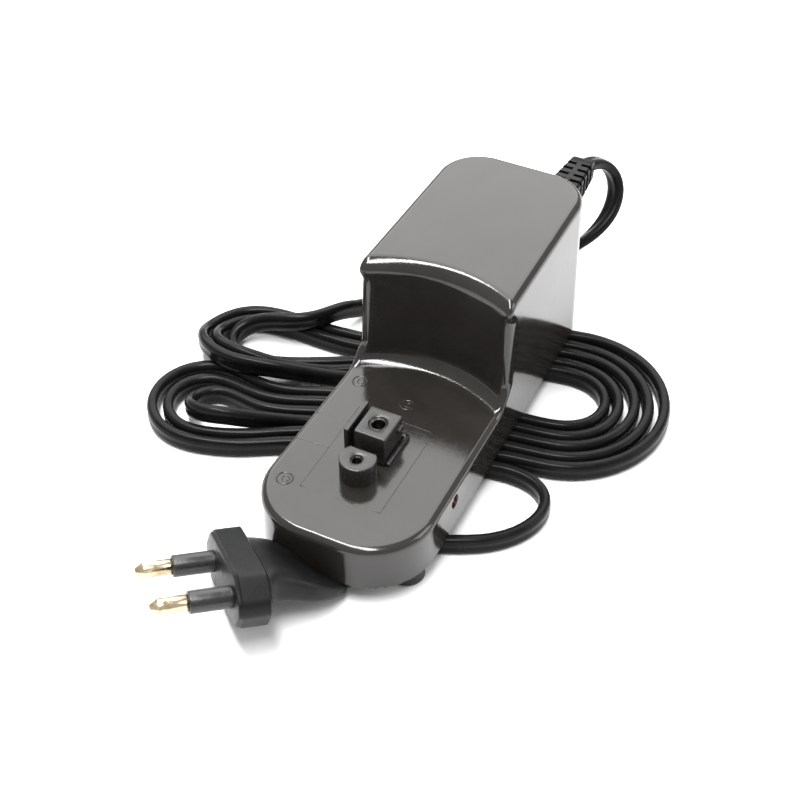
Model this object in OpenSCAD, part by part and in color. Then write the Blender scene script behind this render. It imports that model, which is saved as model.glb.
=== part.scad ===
// Sewing machine pedal: stepped housing with a drilled plunger block and stop post,
// slider speed control inside, flat twin mains cord with a two-pin plug.
// Units mm. X = width (right), Y = length (towards the tall rear block), Z = up, z 0 = surface stood on.

/* [Housing] */
// overall length of the housing
body_l = 122; // [118:1:128]
// width across the front end
front_w = 46; // [44:0.5:50]
// width across the rear end
rear_w = 41.6; // [40:0.4:44]
// height of the low deck above the housing underside
deck_h = 12.9; // [12:0.1:15]
// height of the tall block above the housing underside
tall_h = 44.4; // [42:0.2:50]
// plan radius of the two front corners
front_r = 17.3; // [14:0.1:19]
// plan radius of the two rear corners
rear_r = 12.6; // [9:0.1:15]
// wall thickness of the moulding
wall = 2.2; // [1.8:0.1:2.4]
// distance of the step wall in front of the rear end at the centre line
step_y = 6.4; // [5:0.2:8]
// plan radius of the hollow step wall
step_r = 37.5; // [34:0.5:44]

/* [Feet and base] */
// height of the rubber feet
foot_h = 5.6; // [5.6:0.1:7]
// radius of a rubber foot
foot_r = 4.6; // [4:0.1:5]
// thickness of the base plate
plate_t = 2; // [1.6:0.1:2.2]

/* [Plunger block] */
// width of the square block
block_w = 8.6; // [8:0.1:9]
// length of the square block
block_l = 10; // [9.4:0.1:10.4]
// height of the block above the deck
block_h = 8.4; // [7.6:0.1:9]
// bore through the block insert, radius
block_bore_r = 1.6; // [1.2:0.05:1.8]
// travel of the plunger
travel = 4; // [3:0.1:4]

/* [Stop post] */
// radius of the rounded side of the post
post_r = 4.7; // [4.4:0.1:4.9]
// height of the post above the deck
post_h = 5.8; // [5:0.1:7]
// bore through the post insert, radius
post_bore_r = 1.2; // [1:0.05:1.4]

/* [Plug] */
// distance between pin centres
pin_pitch = 19; // [18.6:0.1:19.4]
// pin radius
pin_r = 2; // [1.9:0.05:2.4]
// pin length from the front face
pin_l = 19; // [18.5:0.1:19.5]
// radius of the insulating sleeves
sleeve_r = 2.7; // [2.5:0.1:2.8]
// length of the insulating sleeves
sleeve_l = 10; // [9:0.5:11]

/* [Hidden] */
$fn = 64;
eps = 0.01;
z0 = foot_h;
z_deck = z0 + deck_h;
z_top = z0 + tall_h;
z_plate = z0 + plate_t;
tilt = atan((front_w - rear_w) / 2 / body_l);
// plunger and post places
bx = -0.9;
by = -27;
px = -1.1;
py = -37.6;
// lever pivot
pivot_y = 16;
pivot_z = 13.4;
lever_x = 2.2;
lever_w = 2;
pin_hole = 1.53;
arm_up = 28;
// rear cord exit
boot_x = 9.5;
boot_z = 39.5;
// height of the pilot lamp above the underside
lamp_z = 8.6;
// front screws, rear screws, feet
screw_at = [[-16, -18], [16, -18], [-15.5, 44], [15.5, 44]];
foot_at = [[-16.5, -46.5], [16.5, -46.5], [-13, 54], [13, 54]];
// plug pose
plug_p = [-16.9, -76.7, 12.2];
plug_yaw = 43.4;
plug_pitch = 7.7;
plug_roll = 20.6;
// pin radius under the sleeve
core_r = 1.6;
// flat twin cord, half sizes
cord_a = 2.7;
cord_b = 1.6;
tail_route = [
  [9.5, 80, 39.5], [10, 84, 39], [11.5, 88, 37.5], [13.5, 91, 35], [15.5, 92, 31.5], [17, 91, 28],
  [17.5, 88, 24.5], [17, 84, 21.5], [15, 80, 18.5], [12, 76.5, 15.5], [8, 74, 12.5], [3, 72, 9.5],
  [-2, 70.5, 7], [-8, 68, 5], [-14, 65, 3.6], [-20, 61.5, 3], [-26, 57, 2.8], [-31, 51, 2.7],
  [-35, 45, 2.7], [-39, 38.5, 2.7], [-43, 33, 2.7], [-47, 29, 2.7]];
lead_route = [
  [30, 0, 2.7], [34, -0.5, 2.7], [37.5, -2.5, 2.7], [39.8, -6, 2.7], [40.8, -10.5, 2.7], [40.8, -15.5, 2.7],
  [39.6, -20.5, 2.7], [37.4, -25, 2.7], [34.2, -29, 2.7], [30, -32.2, 2.7], [25, -34.6, 2.7],
  [20, -36.6, 2.7], [15, -39, 2.7], [11, -42.5, 2.7], [8.6, -47, 2.7], [8, -52, 2.7], [8, -56, 2.7],
  [7.4, -60, 2.75], [6, -63, 3.1]];
neck_route = [
  [6, -63, 3.1], [4, -65, 3.9], [1, -66.6, 5.2], [-2.5, -68, 6.9], [-6, -69.4, 8.6],
  [-8.8, -70.8, 10], [-11.1, -71.9, 11]];
neck_size = [1, 1.06, 1.16, 1.3, 1.5, 1.75, 2];

// half width of the housing at a place along its length
function half_w(y) = (front_w + rear_w) / 4 - y * tan(tilt);
// centre of a corner circle of radius r at place y
function corner_x(y, r) = half_w(y) - r / cos(tilt);
function unit(v) = v / norm(v);
function tangent(p, i) = unit(p[min(i + 1, len(p) - 1)] - p[max(i - 1, 0)]);
function side(ref, t) = unit(ref - (ref * t) * t);

// swept tube: route, half sizes, reference direction, size factor per ring, number of sides
module tube(route, a, b, ref, size, n = 8) {
  m = len(route);
  pts = [for (i = [0:m - 1])
    let (t = tangent(route, i), u = side(ref, t), v = cross(t, u), k = size[i])
    for (j = [0:n - 1]) route[i] + k * (a * cos(360 * j / n) * u + b * sin(360 * j / n) * v)];
  skin = [for (i = [0:m - 2]) for (j = [0:n - 1])
    [i * n + j, (i + 1) * n + j, (i + 1) * n + (j + 1) % n, i * n + (j + 1) % n]];
  ends = [[for (j = [0:n - 1]) j], [for (j = [n - 1:-1:0]) (m - 1) * n + j]];
  polyhedron(points = pts, faces = concat(skin, ends), convexity = 10);
}

// plan outline of the housing, drawn in by g
module outline(g) {
  fy = -body_l / 2 + front_r;
  ry = body_l / 2 - rear_r;
  fr = front_r - g;
  rr = rear_r - g;
  fx = corner_x(fy, front_r);
  rx = corner_x(ry, rear_r);
  for (s = [-1, 1]) {
    translate([s * fx, fy]) circle(r = fr);
    translate([s * rx, ry]) circle(r = rr);
  }
  polygon([
    [fx, fy - fr], [fx + fr * cos(tilt), fy + fr * sin(tilt)],
    [rx + rr * cos(tilt), ry + rr * sin(tilt)], [rx, ry + rr],
    [-rx, ry + rr], [-rx - rr * cos(tilt), ry + rr * sin(tilt)],
    [-fx - fr * cos(tilt), fy + fr * sin(tilt)], [-fx, fy - fr]]);
}

// plan region of the tall block, its front face hollow, moved back by g
module tall_plan(g) {
  intersection() {
    outline(g);
    difference() {
      translate([-40, step_y - 8]) square([80, 90]);
      translate([0, step_y - step_r]) circle(r = step_r + g, $fn = 96);
    }
  }
}

module upper_shell() {
  color([0.16, 0.15, 0.14])
  difference() {
    union() {
      difference() {
        union() {
          translate([0, 0, z0]) linear_extrude(deck_h) outline(0);
          translate([0, 0, z0]) linear_extrude(tall_h) tall_plan(0);
        }
        translate([0, 0, z0 - 1]) linear_extrude(deck_h + 1 - wall) outline(wall);
        translate([0, 0, z0 - 1]) linear_extrude(tall_h + 1 - wall) tall_plan(wall);
      }
      for (p = screw_at)
        translate([p[0], p[1], z_plate]) cylinder(r = 3, h = z_deck - wall - z_plate + 0.5);
    }
    // plunger opening, collar and post stand on the deck
    translate([bx - block_w / 2 - 0.15, by - block_l / 2 - 0.15, z_deck - wall - 1])
      cube([block_w + 0.3, block_l + 0.3, wall + 2]);
    // screw holes
    for (p = screw_at) translate([p[0], p[1], z0]) cylinder(r = 1.25, h = 9);
    // lamp window in the right wall
    translate([18, -31.6, z0 + lamp_z]) rotate([0, 90, 0]) cylinder(r = 1.7, h = 8);
    // cord exit in the rear wall
    translate([boot_x - 3.6, body_l / 2 - wall - 1, boot_z - 3.2]) cube([7.2, wall + 2, 6.4]);
    // post spigot hole
    translate([px, py, z_deck - wall - 1]) cylinder(r = 2.2, h = wall + 2);
    // rim step that the base plate drops into
    translate([0, 0, z0 - 1]) linear_extrude(plate_t + 1) outline(1.1);
  }
}

module base_plate() {
  color([0.12, 0.12, 0.12])
  difference() {
    union() {
      translate([0, 0, z0]) linear_extrude(plate_t) outline(1.25);
      translate([bx, by, z_plate]) cylinder(r = 1.6, h = 0.9);
      // posts that carry the circuit board
      for (y = [20, 44]) translate([-10.8, y - 2.5, z_plate]) cube([4, 5, 6]);
    }
    for (p = screw_at) {
      translate([p[0], p[1], z0 - 1]) cylinder(r = 1.6, h = plate_t + 2);
      translate([p[0], p[1], z0 - 1]) cylinder(r = 2.9, h = 2.2);
    }
    for (p = foot_at) translate([p[0], p[1], z0 - 1]) cylinder(r = 1.5, h = plate_t + 2);
    // vent slots under the control
    for (i = [0:5]) translate([-9, 24 + i * 4, z0 - 1]) cube([18, 1.6, plate_t + 2]);
    // board screw holes
    for (y = [20, 44]) translate([-12, y, z_plate + 3.4]) rotate([0, 90, 0]) cylinder(r = 0.9, h = 6);
    // bracket screw holes
    for (y = [11.8, 20.2]) translate([3.2, y, z0 - 1]) cylinder(r = 0.9, h = plate_t + 2);
  }
}

module rubber_feet() {
  color([0.05, 0.05, 0.05])
  for (p = foot_at) translate([p[0], p[1], 0]) rotate_extrude()
    polygon([[0, 0.5], [2.2, 0.5], [2.4, 0], [foot_r - 0.6, 0], [foot_r, 0.6], [foot_r, foot_h],
      [1.5, foot_h], [1.5, foot_h + plate_t], [2, foot_h + plate_t], [1.4, foot_h + plate_t + 1.2],
      [0, foot_h + plate_t + 1.2]]);
}

module base_screws() {
  color([0.75, 0.75, 0.76])
  for (p = screw_at) translate([p[0], p[1], z0 + 0.2]) difference() {
    union() {
      cylinder(r = 2.7, h = 1);
      cylinder(r = 1.25, h = 8);
    }
    translate([-1.8, -0.3, -1]) cube([3.6, 0.6, 1.5]);
    translate([-0.3, -1.8, -1]) cube([0.6, 3.6, 1.5]);
  }
}

// fixed guide: a thin upright cheek on the left of the plunger and a low ledge round the rest
module guide_collar() {
  color([0.08, 0.08, 0.08]) {
    translate([bx - block_w / 2 - 2.4, by - block_l / 2 - 0.6, z_deck]) cube([1.2, block_l + 1.4, block_h]);
    difference() {
      translate([bx - block_w / 2 - 2.4, by - block_l / 2 - 0.6, z_deck])
        cube([block_w + 3.6, block_l + 2.2, 1.2]);
      translate([bx - block_w / 2 - 0.2, by - block_l / 2 - 1, z_deck - 1])
        cube([block_w + 0.4, block_l + 1.2, 3]);
    }
  }
}

module plunger() {
  color([0.07, 0.07, 0.07])
  difference() {
    union() {
      translate([bx - block_w / 2, by - block_l / 2, z_deck - wall - 0.4])
        cube([block_w, block_l, block_h + wall + 0.4]);
      // retaining flange under the deck
      translate([bx - block_w / 2 - 1, by - block_l / 2 - 0.6, z_deck - wall - 1.7])
        cube([block_w + 2, block_l + 1.2, 1.5]);
      translate([bx, by, z_deck - wall - 3.1]) cylinder(r = 1.5, h = 2);
    }
    // seat of the insert
    translate([bx, by, z_deck - 1]) cylinder(r = 2.2, h = block_h + 2);
    // nick at the rear right corner of the top
    translate([bx + block_w / 2 - 0.8, by + block_l / 2 - 1.6, z_deck + block_h - 1.2]) cube([2, 3, 3]);
  }
}

module plunger_insert() {
  color([0.8, 0.78, 0.72])
  translate([bx, by, z_deck - 1]) difference() {
    cylinder(r = 2.2, h = block_h + 0.6);
    translate([0, 0, 1]) cylinder(r = block_bore_r, h = block_h + 2);
    translate([0, 0, block_h + 0.2]) cylinder(r = 1.9, h = 1);
  }
}

module stop_post() {
  color([0.07, 0.07, 0.07])
  difference() {
    union() {
      intersection() {
        translate([px, py, z_deck]) cylinder(r = post_r, h = post_h);
        translate([px - 8, py - 8, z_deck]) cube([16, 8 + 3, post_h]);
      }
      translate([px, py, z_deck - wall]) cylinder(r = 2.2, h = wall + 1);
    }
    translate([px, py - 0.6, z_deck - wall - 1]) cylinder(r = 1.55, h = post_h + 6);
  }
}

module post_insert() {
  color([0.8, 0.78, 0.72])
  translate([px, py - 0.6, z_deck - wall]) difference() {
    cylinder(r = 1.55, h = post_h + wall - 0.4);
    translate([0, 0, 1]) cylinder(r = post_bore_r, h = post_h + 4);
  }
}

// four turns, the end turns closed, wire 0.6
spring_low = z_plate + 0.32;
spring_high = z_deck - wall - 1.7 - 0.32;
spring_n = 48;
function spring_z(f) = f < 0.2 ? spring_low + 3.5 * f
  : f > 0.8 ? spring_high - 3.5 * (1 - f)
  : spring_low + 0.7 + (spring_high - spring_low - 1.4) * (f - 0.2) / 0.6;

module return_spring() {
  route = [for (i = [0:spring_n]) let (a = 1440 * i / spring_n)
    [bx + 2.35 * cos(a), by + 2.35 * sin(a), spring_z(i / spring_n)]];
  color([0.7, 0.7, 0.72]) tube(route, 0.3, 0.3, [0, 0, 1], [for (p = route) 1], 6);
}

module rocker_lever() {
  color([0.85, 0.83, 0.78])
  difference() {
    union() {
      translate([lever_x, by, pivot_z - 0.6]) cube([lever_w, pivot_y - by, 1.3]);
      translate([lever_x, pivot_y - 1.25, pivot_z]) cube([lever_w, 2.5, arm_up + 1.6]);
      translate([lever_x, pivot_y, pivot_z]) rotate([0, 90, 0]) cylinder(r = 3, h = lever_w);
      // peg that drives the slider
      translate([-0.9, pivot_y, pivot_z + arm_up]) rotate([0, 90, 0]) cylinder(r = 1.4, h = 4);
    }
    translate([lever_x - 1, pivot_y, pivot_z]) rotate([0, 90, 0]) cylinder(r = pin_hole, h = lever_w + 2);
  }
}

module lever_pivot_pin() {
  color([0.75, 0.75, 0.76])
  translate([-0.4, pivot_y, pivot_z]) rotate([0, 90, 0]) {
    cylinder(r = 1.5, h = 7.2);
    translate([0, 0, -0.8]) cylinder(r = 2.2, h = 0.8);
  }
}

module lever_bracket() {
  color([0.7, 0.7, 0.7])
  difference() {
    union() {
      translate([-0.4, pivot_y - 6, z_plate]) cube([7.2, 12, 1.4]);
      translate([-0.4, pivot_y - 2.6, z_plate]) cube([2.2, 5.2, 8.6]);
      translate([4.6, pivot_y - 2.6, z_plate]) cube([2.2, 5.2, 8.6]);
    }
    translate([-2, pivot_y, pivot_z]) rotate([0, 90, 0]) cylinder(r = 1.5, h = 12);
    for (y = [11.8, 20.2]) translate([3.2, y, z_plate - 1]) cylinder(r = 0.9, h = 4);
  }
}

module bracket_screws() {
  color([0.75, 0.75, 0.76])
  for (y = [11.8, 20.2]) translate([3.2, y, 0]) difference() {
    union() {
      translate([0, 0, z0 + 0.1]) cylinder(r = 0.9, h = plate_t + 1.3);
      translate([0, 0, z_plate + 1.4]) cylinder(r = 1.4, h = 0.9);
    }
    translate([-1, -0.2, z_plate + 1.9]) cube([2, 0.4, 1]);
  }
}

// carriage of the slide control
module speed_slider() {
  color([0.9, 0.9, 0.88])
  difference() {
    union() {
      translate([-2.1, pivot_y - 3.4, pivot_z + arm_up - 3]) cube([3.6, 6.8, 6]);
      translate([-4, pivot_y - 2.4, pivot_z + arm_up - 0.9]) cube([2.2, 4.8, 1.8]);
    }
    translate([-1.1, pivot_y - 1.5, pivot_z + arm_up - 2]) cube([5, 3, 8]);
  }
}

module slider_track() {
  color([0.15, 0.2, 0.35])
  difference() {
    translate([-5.2, 9.6, pivot_z + arm_up - 3.2]) cube([3, 14, 6.4]);
    translate([-4.1, 10.4, pivot_z + arm_up - 0.95]) cube([3, 11, 1.9]);
  }
}

module circuit_board() {
  color([0.1, 0.35, 0.18])
  difference() {
    translate([-6.8, 10, z_plate + 0.4]) cube([1.6, 44, 37.6]);
    for (y = [20, 44]) translate([-8, y, z_plate + 3.4]) rotate([0, 90, 0]) cylinder(r = 0.9, h = 6);
  }
}

module board_screws() {
  color([0.75, 0.75, 0.76])
  for (y = [20, 44]) translate([-5.2, y, z_plate + 3.4]) rotate([0, 90, 0]) difference() {
    union() {
      translate([0, 0, -5]) cylinder(r = 0.9, h = 5.2);
      cylinder(r = 1.6, h = 1);
    }
    translate([-1.2, -0.2, 0.5]) cube([2.4, 0.4, 1]);
  }
}

module triac() {
  color([0.08, 0.08, 0.08]) {
    translate([1.2, 34, 24]) cube([2.8, 9.6, 8.6]);
    for (i = [-1, 0, 1]) translate([-5.2, 38.4 + i * 2.5, 25.4]) cube([6.4, 0.8, 0.6]);
  }
}

module heat_sink() {
  color([0.75, 0.76, 0.78]) difference() {
    union() {
      translate([4, 32, 20]) cube([1.6, 13.6, 20]);
      for (i = [0:3]) translate([5.6, 32 + i * 4.1, 20]) cube([6, 1.3, 20]);
    }
    translate([2, 38.8, 36]) rotate([0, 90, 0]) cylinder(r = 1.6, h = 8);
  }
}

module film_capacitor() {
  color([0.8, 0.65, 0.15]) {
    translate([-16.2, 34, 24]) cube([9, 15, 11]);
    for (y = [36, 47]) translate([-7.2, y, 29]) rotate([0, 90, 0]) cylinder(r = 0.4, h = 0.4);
  }
}

module choke_core() {
  color([0.2, 0.2, 0.22]) translate([-12, 22, 36]) rotate([0, 90, 0]) difference() {
    cylinder(r = 8, h = 5, center = true);
    cylinder(r = 4, h = 7, center = true);
  }
}

// winding turns on the ring core
module choke_winding() {
  color([0.75, 0.4, 0.15]) translate([-12, 22, 36]) rotate([0, 90, 0]) {
    for (i = [0:15]) if (i != 7 && i != 8) rotate([0, 0, i * 22.5]) difference() {
      translate([3.2, -0.45, -3.3]) cube([5.6, 0.9, 6.6]);
      translate([3.99, -1, -2.51]) cube([4.02, 2, 5.02]);
    }
  }
}

module resistors() {
  color([0.75, 0.65, 0.5])
  for (i = [0:2]) translate([-9.2, 14 + i * 5, 14.6 + i * 1.5]) {
    cylinder(r = 1.2, h = 6.4);
    translate([0, 0, -1.2]) cylinder(r = 0.35, h = 8.8);
    for (z = [-1.2, 7]) translate([0, 0, z + 0.3]) rotate([0, 90, 0]) cylinder(r = 0.35, h = 2.4);
  }
}

module fuse_tube() {
  color([0.85, 0.9, 0.92]) translate([-1.6, 48.6, 14]) {
    difference() {
      cylinder(r = 2.4, h = 18);
      translate([0, 0, 1]) cylinder(r = 1.9, h = 16);
    }
    cylinder(r = 0.2, h = 18);
  }
}

module fuse_clips() {
  color([0.8, 0.75, 0.5])
  for (z = [14.5, 27.5]) difference() {
    translate([-5.2, 45.8, z]) cube([6.6, 5.6, 4]);
    translate([-1.6, 48.6, z - 1]) cylinder(r = 2.42, h = 6);
    translate([0.4, 47, z - 1]) cube([3, 3.2, 6]);
    translate([-4.8, 46.4, z - 1]) cube([1.2, 4.4, 6]);
  }
}

module terminal_block() {
  color([0.1, 0.4, 0.25])
  difference() {
    translate([-5.2, 26.2, 12]) cube([8.4, 12, 9]);
    for (y = [29.2, 35.2]) {
      translate([-1, y, 16.5]) rotate([0, 90, 0]) cylinder(r = 1.3, h = 8);
      translate([-1.4, y, 17]) cylinder(r = 1.5, h = 8);
    }
  }
}

module terminal_screws() {
  color([0.75, 0.75, 0.76])
  for (y = [29.2, 35.2]) translate([-1.4, y, 17.9]) difference() {
    cylinder(r = 1.5, h = 2.4);
    translate([-2, -0.25, 1.8]) cube([4, 0.5, 2]);
  }
}

module pilot_lamp() {
  color([0.85, 0.1, 0.1]) translate([17.6, -31.6, z0 + lamp_z]) rotate([0, 90, 0]) {
    cylinder(r = 1.4, h = 2.9);
    translate([0, 0, 2.9]) sphere(r = 1.4);
    cylinder(r = 1.8, h = 0.8);
  }
}

module lamp_holder() {
  color([0.9, 0.9, 0.88]) difference() {
    translate([14.6, -34.4, z_plate]) cube([3, 5.6, 8.4]);
    for (s = [-0.9, 0.9]) translate([14, -31.6 + s, z0 + lamp_z]) rotate([0, 90, 0]) cylinder(r = 0.35, h = 5);
  }
}

// saddle that grips the cores inside the rear wall, hung from the ceiling
module cord_clamp() {
  color([0.12, 0.12, 0.12]) difference() {
    translate([boot_x - 7, 48.6, boot_z - 5.5]) cube([14, 5, z_top - wall - boot_z + 5.5]);
    translate([boot_x, 47, boot_z]) rotate([-90, 0, 0]) cylinder(r = 3, h = 8);
    for (s = [-1, 1]) translate([boot_x + s * 5, 51.1, boot_z - 7]) cylinder(r = 1.1, h = 14);
  }
}

module clamp_screws() {
  color([0.75, 0.75, 0.76])
  for (s = [-1, 1]) translate([boot_x + s * 5, 51.1, boot_z - 6.7]) difference() {
    union() {
      cylinder(r = 1.8, h = 1.2);
      translate([0, 0, 1]) cylinder(r = 1.1, h = 12.7);
    }
    translate([-1.4, -0.25, -0.4]) cube([2.8, 0.5, 1]);
  }
}

live_route = [[boot_x - 1.2, 59.4, boot_z], [boot_x - 1.2, 54, boot_z], [boot_x - 1.2, 48.6, boot_z],
  [8.3, 47.3, 38.6], [8.2, 46.9, 36], [8.2, 46.9, 28], [8.2, 46.9, 20.5], [8, 46, 18],
  [7.2, 42, 16.8], [6.4, 37.4, 16.6], [4.9, 35.4, 16.5], [1.6, 35.2, 16.5]];
neutral_route = [[boot_x + 1.2, 59.4, boot_z], [boot_x + 1.2, 54, boot_z], [boot_x + 1.2, 48.6, boot_z],
  [10.9, 47.4, 38.6], [11.3, 47, 36], [11.5, 47, 28], [11.5, 47, 19.5], [10.8, 45.6, 15.6],
  [9.2, 39, 14.2], [7.4, 32, 15], [5, 29.5, 16.3], [1.6, 29.2, 16.5]];

module live_wire() {
  color([0.4, 0.2, 0.1]) tube(live_route, 0.85, 0.85, [0.3, 0.2, 1], [for (p = live_route) 1], 8);
}

module neutral_wire() {
  color([0.1, 0.2, 0.6]) tube(neutral_route, 0.85, 0.85, [0.3, 0.2, 1], [for (p = neutral_route) 1], 8);
}

// tapered boot of rectangular section with cross slots, keyed into the rear wall
module strain_relief() {
  color([0.06, 0.06, 0.06]) difference() {
    union() {
      intersection() {
        translate([boot_x - 5.2, body_l / 2 - wall - 5, boot_z - 4.8]) cube([10.4, 4.8, 9.6]);
        translate([0, 0, boot_z - 6]) linear_extrude(12) difference() {
          tall_plan(wall);
          tall_plan(wall + 1.6);
        }
      }
      intersection() {
        translate([boot_x - 3.6, body_l / 2 - wall - 3, boot_z - 3.2]) cube([7.2, wall + 3.2, 6.4]);
        translate([0, 0, boot_z - 6]) linear_extrude(12) outline(0);
      }
      difference() {
        intersection() {
          translate([boot_x, 0, boot_z - 8]) linear_extrude(16)
            polygon([[-4.8, body_l / 2 - 4], [4.8, body_l / 2 - 4], [3.4, body_l / 2 + 20], [-3.4, body_l / 2 + 20]]);
          translate([boot_x - 8, 0, boot_z]) rotate([90, 0, 90]) linear_extrude(16)
            polygon([[body_l / 2 - 4, -4.4], [body_l / 2 - 4, 4.4], [body_l / 2 + 20, 3], [body_l / 2 + 20, -3]]);
        }
        translate([0, 0, boot_z - 9]) linear_extrude(18) outline(0);
      }
    }
    translate([boot_x, 0, boot_z]) for (i = [0:3]) {
      translate([-8, body_l / 2 + 3 + i * 3.6, i % 2 == 0 ? 2 : -8]) cube([16, 1.3, 6]);
      translate([i % 2 == 0 ? 2.2 : -8.2, body_l / 2 + 3 + i * 3.6, -8]) cube([6, 1.3, 16]);
    }
    // passage of the two cores
    translate([boot_x - 2.4, body_l / 2 - 8, boot_z - 1.2]) cube([4.8, 12, 2.4]);
  }
}

module cord_tail() {
  color([0.05, 0.05, 0.05]) tube(concat([[boot_x, 81, boot_z]], [for (i = [1:len(tail_route) - 1]) tail_route[i]]),
    cord_a, cord_b, [0.8, -0.6, 0], [for (p = tail_route) 1], 8);
}

// the coil as one plain solid: two left lobes and one right lobe joined under the housing
module cord_hank() {
  color([0.05, 0.05, 0.05]) linear_extrude(5.4) difference() {
    union() {
      translate([-59.5, 10.6]) circle(r = 18);
      translate([28, 25.4]) circle(r = 27.6);
      polygon([[-62.5, 28.3], [22.5, 51.2], [28, -2.2], [-57, -7.2]]);
      translate([-59.5, -17.4]) circle(r = 18);
      polygon([[-62, 0.4], [30, 26], [28, -2.2], [16, -4], [-22, -17], [-54.5, -34.6]]);
    }
    translate([29.5, 23]) circle(r = 7.4);
    translate([-73, 12]) circle(r = 1.6);
  }
}

module cord_lead() {
  color([0.05, 0.05, 0.05]) tube(lead_route, cord_a, cord_b, [0, 0, 1], [for (p = lead_route) 1], 8);
}

module plug_neck() {
  color([0.06, 0.06, 0.06]) tube(neck_route, cord_a, 2, [0, 0, 1], neck_size, 8);
}

// plug frame: local x along the pins, y across the pins, z thickness
module plug_pose() {
  translate(plug_p) rotate([0, 0, 180 + plug_yaw]) rotate([0, -plug_pitch, 0]) rotate([plug_roll, 0, 0]) children();
}

module plug_body() {
  color([0.06, 0.06, 0.06]) plug_pose() difference() {
    union() {
      translate([-8, 0, 0]) rotate([90, 0, 90]) linear_extrude(8)
        polygon([[-13.05, -6.85], [13.05, -6.85], [17.65, -1.6], [17.65, 1.6], [13.05, 6.85],
          [-13.05, 6.85], [-17.65, 1.6], [-17.65, -1.6]]);
      translate([0, 0, -4.8]) linear_extrude(9.6)
        polygon([[-7.8, -12.2], [-13, -8.4], [-13, 8.4], [-7.8, 12.2]]);
    }
    for (s = [-1, 1]) translate([-6, s * pin_pitch / 2, 0]) rotate([0, 90, 0]) cylinder(r = sleeve_r, h = 8);
  }
}

module pin_sleeves() {
  color([0.05, 0.05, 0.05]) plug_pose() for (s = [-1, 1]) translate([-6, s * pin_pitch / 2, 0])
    rotate([0, 90, 0]) difference() {
      cylinder(r = sleeve_r, h = 6 + sleeve_l);
      translate([0, 0, -1]) cylinder(r = core_r, h = sleeve_l + 9);
    }
}

// full size where they are bare, thinner under the sleeves
module plug_pins() {
  color([0.85, 0.65, 0.3]) plug_pose() for (s = [-1, 1]) translate([-6, s * pin_pitch / 2, 0])
    rotate([0, 90, 0]) {
      cylinder(r = core_r, h = 6 + sleeve_l);
      translate([0, 0, 6 + sleeve_l]) cylinder(r = pin_r, h = pin_l - pin_r - sleeve_l);
      translate([0, 0, 6 + pin_l - pin_r]) sphere(r = pin_r);
    }
}

upper_shell();
base_plate();
rubber_feet();
base_screws();
guide_collar();
plunger();
plunger_insert();
stop_post();
post_insert();
return_spring();
rocker_lever();
lever_pivot_pin();
lever_bracket();
bracket_screws();
speed_slider();
slider_track();
circuit_board();
board_screws();
triac();
heat_sink();
film_capacitor();
choke_core();
choke_winding();
resistors();
fuse_tube();
fuse_clips();
terminal_block();
terminal_screws();
pilot_lamp();
lamp_holder();
cord_clamp();
clamp_screws();
live_wire();
neutral_wire();
strain_relief();
cord_tail();
cord_hank();
cord_lead();
plug_neck();
plug_body();
pin_sleeves();
plug_pins();
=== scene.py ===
# %% [markdown]
# # Sewing machine pedal with its coiled cord
# The object is a stepped box of glossy plastic on four rubber feet. A drilled block
# and a small post stand on its low deck, a flat twin cord leaves its tall end, lies
# under and beside it in loops, and ends in a plug with two round pins. The sizes come
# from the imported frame, so every piece is made in metres where it belongs.

# %% Start: the frame
import bpy
import numpy as np
from mathutils import Matrix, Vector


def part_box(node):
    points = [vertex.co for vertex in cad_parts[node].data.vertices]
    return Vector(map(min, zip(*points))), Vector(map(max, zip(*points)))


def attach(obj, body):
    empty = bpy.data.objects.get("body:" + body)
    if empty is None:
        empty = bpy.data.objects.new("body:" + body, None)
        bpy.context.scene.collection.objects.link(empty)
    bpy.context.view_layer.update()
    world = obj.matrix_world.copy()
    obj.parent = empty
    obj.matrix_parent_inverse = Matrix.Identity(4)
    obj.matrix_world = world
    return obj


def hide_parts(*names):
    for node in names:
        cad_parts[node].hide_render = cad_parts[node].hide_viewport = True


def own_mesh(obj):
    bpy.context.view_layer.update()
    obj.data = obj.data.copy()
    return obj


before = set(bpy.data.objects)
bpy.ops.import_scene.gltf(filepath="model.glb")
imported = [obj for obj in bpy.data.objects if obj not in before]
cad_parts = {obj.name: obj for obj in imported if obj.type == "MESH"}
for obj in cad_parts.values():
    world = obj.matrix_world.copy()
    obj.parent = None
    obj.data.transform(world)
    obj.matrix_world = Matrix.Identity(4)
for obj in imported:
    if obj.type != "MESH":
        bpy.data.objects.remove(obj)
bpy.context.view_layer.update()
scene = bpy.context.scene


# %% [markdown]
# ## From arrays to meshes
# A surface made of two parameters is an array of points, one row for each step along
# and one column for each step around. Blender can take such a table whole, which is
# quick and keeps the formula readable. This helper also says which CAD nodes the new
# piece stands for and what it rides on.

# %% Mesh helper
def piece(name, points, faces, body="housing", slot=None, stands_for=(), smooth=True):
    """A mesh object from an (n, 3) array in metres and lists of vertex numbers."""
    mesh = bpy.data.meshes.new(name)
    mesh.from_pydata(np.asarray(points, float).tolist(), [], [list(map(int, f)) for f in faces])
    mesh.validate()
    if smooth:
        mesh.shade_smooth()
    obj = bpy.data.objects.new(name, mesh)
    scene.collection.objects.link(obj)
    if body:
        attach(obj, body)
    if stands_for:
        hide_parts(*stands_for)
    print(f"{name}: {len(mesh.vertices)} points, {len(mesh.polygons)} faces")
    return obj


def grid_faces(rows, cols):
    """Quads between neighbouring rows of a grid whose columns close round on themselves."""
    r, c = np.meshgrid(np.arange(rows - 1), np.arange(cols), indexing="ij")
    a = r * cols + c
    b = r * cols + (c + 1) % cols
    return np.stack([a, b, b + cols, a + cols], axis=-1).reshape(-1, 4).tolist()


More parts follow.
